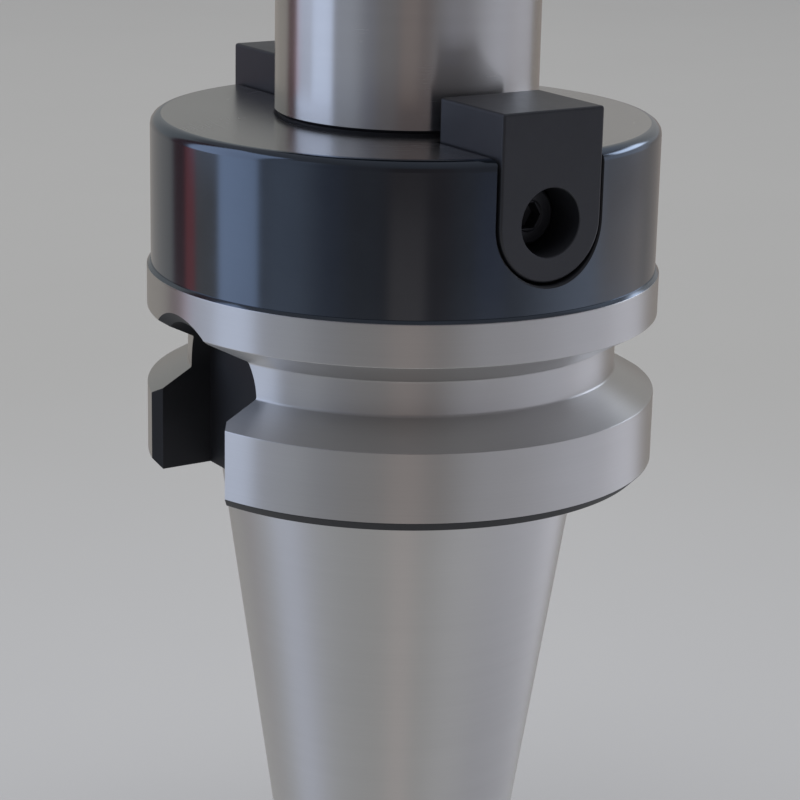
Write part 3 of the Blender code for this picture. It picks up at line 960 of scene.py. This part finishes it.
class HOLDER_OT_add_key_screws(Operator):
    """Add the socket head cap screws that hold the drive keys"""

    bl_idname = "holder.add_key_screws"
    bl_label = "Add Key Screws"

    def execute(self, context):
        scene = context.scene
        keys, colours = scene.key_sizes, scene.steel_colours
        finish = matte_steel("black_cap_screw", tuple(colours.matte), colours.cap_roughness)
        under = -KEY_HIGH.y + keys.web + SEAT_GAP
        top = under + keys.head_height
        head = keys.head_diameter / 2
        bevel = keys.head_edge
        pitch = keys.thread_pitch
        core = keys.thread_diameter - THREAD_DEPTH * pitch
        tip = under - keys.shank_length
        outline = rounded(
            [
                (0.0, top, 0.0, 0),
                (head - bevel, top, HEAD_CORNER, 0),
                (head, top - bevel, HEAD_CORNER, 0),
                (head, top - 1.5 * bevel, 0.0, 0),
                (head, under + UNDER_EDGE, 0.0, 0),
                (head - 0.4 * UNDER_EDGE, under + 0.4 * UNDER_EDGE, 0.0, 0),
                (head - 0.8 * UNDER_EDGE, under, 0.0, 0),
                (core / 2, under, SMALL_EDGE, 0),
                (core / 2, tip + TIP_EDGE, 0.0, 0),
                (core / 2 - TIP_EDGE, tip, 0.0, 0),
                (0.0, tip, 0.0, 0),
            ]
        )
        knurl = (under + 0.8 * UNDER_EDGE, top - 1.25 * bevel, KNURL_DEPTH)
        start = under - THREAD_LEAD
        space = keys.shank_length - 2 * THREAD_LEAD
        outside = keys.thread_diameter
        steps = keys.steps
        socket = (keys.socket_flats, top, keys.socket_depth, SMALL_EDGE, steps)
        for place, side in SIDES:
            thread = screw_thread(core + ROD_SLACK, outside, pitch, start, space, KEY_ROD, steps // 2)
            tools = [thread, *socket_tools(*socket)]
            name = "key_cap_screw_" + place
            mesh = machined(name, turned(outline, steps, knurl), [finish], tools)
            mesh.transform(key_place(keys, side))
            add_piece(name, mesh, "holder", "key_screw_" + place)
        return {"FINISHED"}


class HOLDER_OT_add_clamp_screw(Operator):
    """Add the wide-headed screw that clamps the cutter on the pilot"""

    bl_idname = "holder.add_clamp_screw"
    bl_label = "Add Clamp Screw"

    def execute(self, context):
        scene = context.scene
        clamp, colours = scene.clamp_screw_sizes, scene.steel_colours
        top = CLAMP_HIGH.z
        under = top - clamp.head_height
        dish = clamp.dish_diameter / 2
        sunk = clamp.dish_depth
        head = CLAMP_HIGH.x
        edge = clamp.head_edge
        core = clamp.thread_core / 2
        tip = CLAMP_LOW.z
        head_shade = scaled(colours.black, colours.clamp_shade)
        materials = [
            blackened_steel("blackened_clamp_head", head_shade, colours.clamp_roughness),
            matte_steel("black_thread", tuple(colours.matte), colours.thread_roughness),
        ]
        outline = rounded(
            [
                (0.0, top - sunk, 0.0, 0),
                (dish, top - sunk, SMALL_EDGE, 0),
                (dish + sunk, top, SMALL_EDGE, 0),
                (head - edge, top, SMALL_EDGE, 0),
                (head, top - edge, SMALL_EDGE, 0),
                (head, under + edge, SMALL_EDGE, 0),
                (head - edge, under, SMALL_EDGE, 0),
                (core, under, 2 * SMALL_EDGE, 1),
                (core, tip + edge, 0.0, 1),
                (core - edge, tip, SMALL_EDGE, 1),
                (0.0, tip, 0.0, 1),
            ]
        )
        start = clamp_thread_start(clamp)
        thread = screw_thread(
            clamp.thread_core + 2 * ROD_SLACK,
            clamp.thread_diameter,
            clamp.thread_pitch,
            start,
            start - tip - edge,
            CLAMP_ROD,
            THREAD_STEPS,
            finish=1,
        )
        flats, depth = clamp.socket_flats, clamp.socket_depth - sunk
        tools = [thread, *socket_tools(flats, top - sunk, depth, clamp.socket_mouth, THREAD_STEPS)]
        blank = turned(outline, scene.holder_sizes.steps)
        mesh = machined("clamping_screw", blank, materials, tools)
        add_piece("clamping_screw", mesh, "clamp", "clamp_screw")
        return {"FINISHED"}


# The camera: its azimuth from -Y towards +X, its elevation, its roll and the point that it looks at
CAMERA_AZIMUTH = math.radians(-33.0)
CAMERA_ELEVATION = math.radians(16.208)
CAMERA_ROLL = math.radians(1.231)
CAMERA_AIM = Vector((0.0, 0.0, 0.07419))

# Place of the overhead lamp
LAMP_PLACE = Vector((0.05, 0.26, 1.8))

# Light that the studio's walls and table give off towards the metal, each laid over the ones before:
# lowest and highest azimuth from the camera's side and their softness, lowest and highest elevation and
# their softness, all in degrees, then the colour
PANELS = (
    ("back wall", -200, -126, 4, -30, 34, 5, (0.32, 0.30, 0.28)),
    ("front haze", -8, 22, 6, -30, 30, 4, (0.148, 0.122, 0.122)),
    ("brown strip in front", -6, 10, 2.5, -22, -11.4, 0.8, (0.38, 0.31, 0.28)),
    ("navy shade", 32, 46, 4, -14, -10.5, 0.8, (0.185, 0.20, 0.27)),
    ("window haze", -42, -26, 6, -30, 34, 4, (0.185, 0.195, 0.24)),
    ("window skirt", -65, -40, 9, -30, 40, 4, (0.34, 0.37, 0.44)),
    ("dark frame", -125, -111, 2, -30, 40, 4, (0.115, 0.065, 0.07)),
    ("warm strip", -114, -106, 1.2, -16, -9, 1.5, (0.47, 0.12, 0.12)),
    ("window reveal", -106, -90, 1.2, -16, -9, 1.5, (0.245, 0.22, 0.20)),
    ("window", -90, -67, 1.0, -30, 48, 4, (0.82, 0.97, 1.27)),
    ("upper window", -110, -67, 1.5, -9, 48, 0.8, (0.80, 0.92, 1.20)),
    ("right side", 64, 200, 22, -30, 14, 5, (0.45, 0.46, 0.51)),
    ("right corner", 97, 140, 8, -14, -11.4, 0.6, (0.45, 0.38, 0.34)),
    ("shade above the right corner", 97, 142, 8, -11.4, -9.6, 0.6, (0.32, 0.275, 0.25)),
    ("far back wall", 134, 200, 8, -30, 3, 4, (0.28, 0.25, 0.23)),
    ("upper back wall", 134, 200, 8, 3, 34, 4, (0.365, 0.36, 0.35)),
    ("upper back wall on the left", -200, -126, 4, 3, 34, 4, (0.295, 0.30, 0.295)),
    ("back light", 108, 138, 4, 12, 25, 3, (2.4, 2.6, 3.0)),
    ("back glow", 112, 165, 12, 30, 58, 8, (0.34, 0.36, 0.40)),
    ("pale table", -200, 200, 5, -120, -21, 11, (0.47, 0.475, 0.475)),
    ("brown strip on the table", -4, 14, 4, -60, -24, 4, (0.57, 0.535, 0.53)),
    ("lit table on the left", -98, -66, 10, -120, -21, 11, (0.57, 0.59, 0.67)),
    ("table on the right", 70, 150, 18, -120, -28, 4, (0.35, 0.355, 0.38)),
    ("sheen of the table on the right", 29, 140, 14, -25, -17.5, 2.5, (1.16, 1.18, 1.34)),
)

# Colours of the rest of the room, of its ceiling and of the horizon that the camera sees
ROOM = (0.168, 0.162, 0.174)
SKY = (0.20, 0.20, 0.215)
HORIZON = (0.40, 0.395, 0.38)

# Elevations in degrees between which the room turns into its ceiling
CEILING_RISE = (25, 60)

# Distances from the origin between which the floor turns to its darker far colour, a painted falloff of
# light, and between which it fades into the horizon
FLOOR_SHADE_TURN = (0.04, 0.32)
FLOOR_FADE = (1.1, 2.2)

# Tone of the floor, and what its mottle adds to it
FLOOR_TONE, FLOOR_MOTTLE = 0.985, 0.03


def inside(sheet, value, low, high, soft):
    """1 between two limits and 0 outside them, with soft ends."""
    rise = sheet.rise(value, low - soft, low + soft)
    return rise * (1 - sheet.rise(value, high - soft, high + soft))


def studio_world(name):
    """Light from all round: a pale table below, soft panels at table height and a dim ceiling."""
    world = bpy.data.worlds.new(name)
    world.use_nodes = True
    world.cycles.sampling_method = "NONE"
    tree = world.node_tree
    tree.nodes.clear()
    sheet = Sheet(tree)
    direction = sheet.add("ShaderNodeTexCoord", output="Generated")
    parts = sheet.add("ShaderNodeSeparateXYZ", None, {"Vector": direction})
    x, y, z = parts, parts.output("Y"), parts.output("Z")
    sine, cosine = math.sin(CAMERA_AZIMUTH), math.cos(CAMERA_AZIMUTH)
    right = x * cosine + y * sine
    toward = x * sine - y * cosine
    azimuth = right.math("ARCTAN2", right, toward) * math.degrees(1.0)
    elevation = z.math("ARCSINE", z) * math.degrees(1.0)
    light = sheet.blend(sheet.rise(elevation, *CEILING_RISE), ROOM, SKY)
    for title, left, far_right, soft, low, high, fade, level in PANELS:
        sideways = inside(sheet, azimuth, left, far_right, soft)
        upright = inside(sheet, elevation, low, high, fade)
        light = sheet.blend(sideways * upright, light, level, title)
    seen = sheet.add("ShaderNodeLightPath", output="Is Camera Ray")
    light = sheet.blend(seen, light, HORIZON)
    background = sheet.add("ShaderNodeBackground", None, {"Color": light, "Strength": 1.0})
    sheet.add("ShaderNodeOutputWorld", None, {"Surface": background})
    return world


def floor_material(near, far):
    """Matte pale paint, faintly mottled, with a painted falloff of light: a little darker and warmer
    further off. It fades out.
    """
    material, sheet, shader = new_material("pale_floor", near)
    place = sheet.place()
    mottle = sheet.noise(place, scale=14.0, detail=3.0)
    distance = sheet.add("ShaderNodeVectorMath", {"operation": "LENGTH"}, {0: place}, "Value")
    # Painted falloff of light: the floor is painted lighter near the holder and darker further off
    shade = sheet.blend(sheet.rise(distance, *FLOOR_SHADE_TURN), near, far)
    sheet.fill(
        shader,
        {
            "Base Color": sheet.tint(shade, FLOOR_TONE + mottle * FLOOR_MOTTLE),
            "Roughness": 0.9,
            "Specular IOR Level": 0.0,
            "Alpha": 1 - sheet.rise(distance, *FLOOR_FADE),
        },
    )
    return material


def soft_lamp(name, power, width, place):
    """A large lamp aimed at the holder that lights matte surfaces and isn't mirrored in the metal."""
    lamp = bpy.data.lights.new(name, "AREA")
    lamp.shape = "SQUARE"
    lamp.size = width
    lamp.energy = power
    made = bpy.data.objects.new(name, lamp)
    made.location = place
    made.rotation_euler = (CAMERA_AIM - place).to_track_quat("-Z", "Y").to_euler()
    made.visible_glossy = False
    bpy.context.scene.collection.objects.link(made)


def studio_camera(settings):
    """The camera at the photograph's angle."""
    across = Vector((math.cos(CAMERA_AZIMUTH), math.sin(CAMERA_AZIMUTH), 0.0))
    back = Vector(
        (
            math.sin(CAMERA_AZIMUTH) * math.cos(CAMERA_ELEVATION),
            -math.cos(CAMERA_AZIMUTH) * math.cos(CAMERA_ELEVATION),
            math.sin(CAMERA_ELEVATION),
        )
    )
    up = back.cross(across)
    cosine, sine = math.cos(CAMERA_ROLL), math.sin(CAMERA_ROLL)
    axes = Matrix((across * cosine + up * sine, up * cosine - across * sine, back)).transposed()
    data = bpy.data.cameras.new("studio_camera")
    data.lens = settings.lens
    data.sensor_width = 36.0
    data.clip_start = 0.01
    data.clip_end = 50.0
    camera = bpy.data.objects.new("studio_camera", data)
    eye = CAMERA_AIM + back * settings.camera_distance
    camera.matrix_world = Matrix.Translation(eye) @ axes.to_4x4()
    bpy.context.scene.collection.objects.link(camera)
    bpy.context.scene.camera = camera


class HOLDER_OT_add_studio(Operator):
    """Add the pale floor, the soft light and the camera"""

    bl_idname = "holder.add_studio"
    bl_label = "Add Studio"

    def execute(self, context):
        scene = context.scene
        settings = scene.studio_settings
        bm = bmesh.new()
        bmesh.ops.create_circle(bm, cap_ends=True, radius=settings.floor_radius, segments=96)
        paint = floor_material(tuple(settings.floor_colour), tuple(settings.shaded_far_colour))
        floor = bpy.data.objects.new("pale_floor", to_mesh("pale_floor", bm, [paint]))
        floor.visible_glossy = False
        scene.collection.objects.link(floor)
        scene.world = studio_world("soft_studio")
        soft_lamp("overhead_lamp", settings.soft_light, settings.lamp_width, LAMP_PLACE)
        studio_camera(settings)
        scene.view_settings.view_transform = "Standard"
        return {"FINISHED"}


class HOLDER_PT_sidebar(Panel):
    """Lists the holder's pieces and their sizes"""

    bl_idname = "HOLDER_PT_sidebar"
    bl_label = "Face Mill Holder"
    bl_space_type = "VIEW_3D"
    bl_region_type = "UI"
    bl_category = "Holder"

    def draw(self, context):
        for operator in OPERATORS:
            self.layout.operator(operator.bl_idname)
        for group in SETTINGS:
            box = self.layout.box()
            settings = getattr(context.scene, group)
            for name in settings.__annotations__:
                box.prop(settings, name)


SETTINGS = {
    "holder_sizes": HolderSizes,
    "key_sizes": KeySizes,
    "clamp_screw_sizes": ClampScrewSizes,
    "steel_colours": SteelColours,
    "studio_settings": StudioSettings,
}
OPERATORS = (
    HOLDER_OT_add_studio,
    HOLDER_OT_add_body,
    HOLDER_OT_add_keys,
    HOLDER_OT_add_key_screws,
    HOLDER_OT_add_clamp_screw,
)


def register():
    for group in (*SETTINGS.values(), *OPERATORS, HOLDER_PT_sidebar):
        bpy.utils.register_class(group)
    for name, group in SETTINGS.items():
        setattr(bpy.types.Scene, name, PointerProperty(type=group))


def unregister():
    for name in SETTINGS:
        delattr(bpy.types.Scene, name)
    for group in reversed((*SETTINGS.values(), *OPERATORS, HOLDER_PT_sidebar)):
        bpy.utils.unregister_class(group)


def main():
    register()
    bpy.ops.holder.add_studio()
    bpy.ops.holder.add_body()
    bpy.ops.holder.add_keys()
    bpy.ops.holder.add_key_screws()
    bpy.ops.holder.add_clamp_screw()


if __name__ == "__main__":
    main()
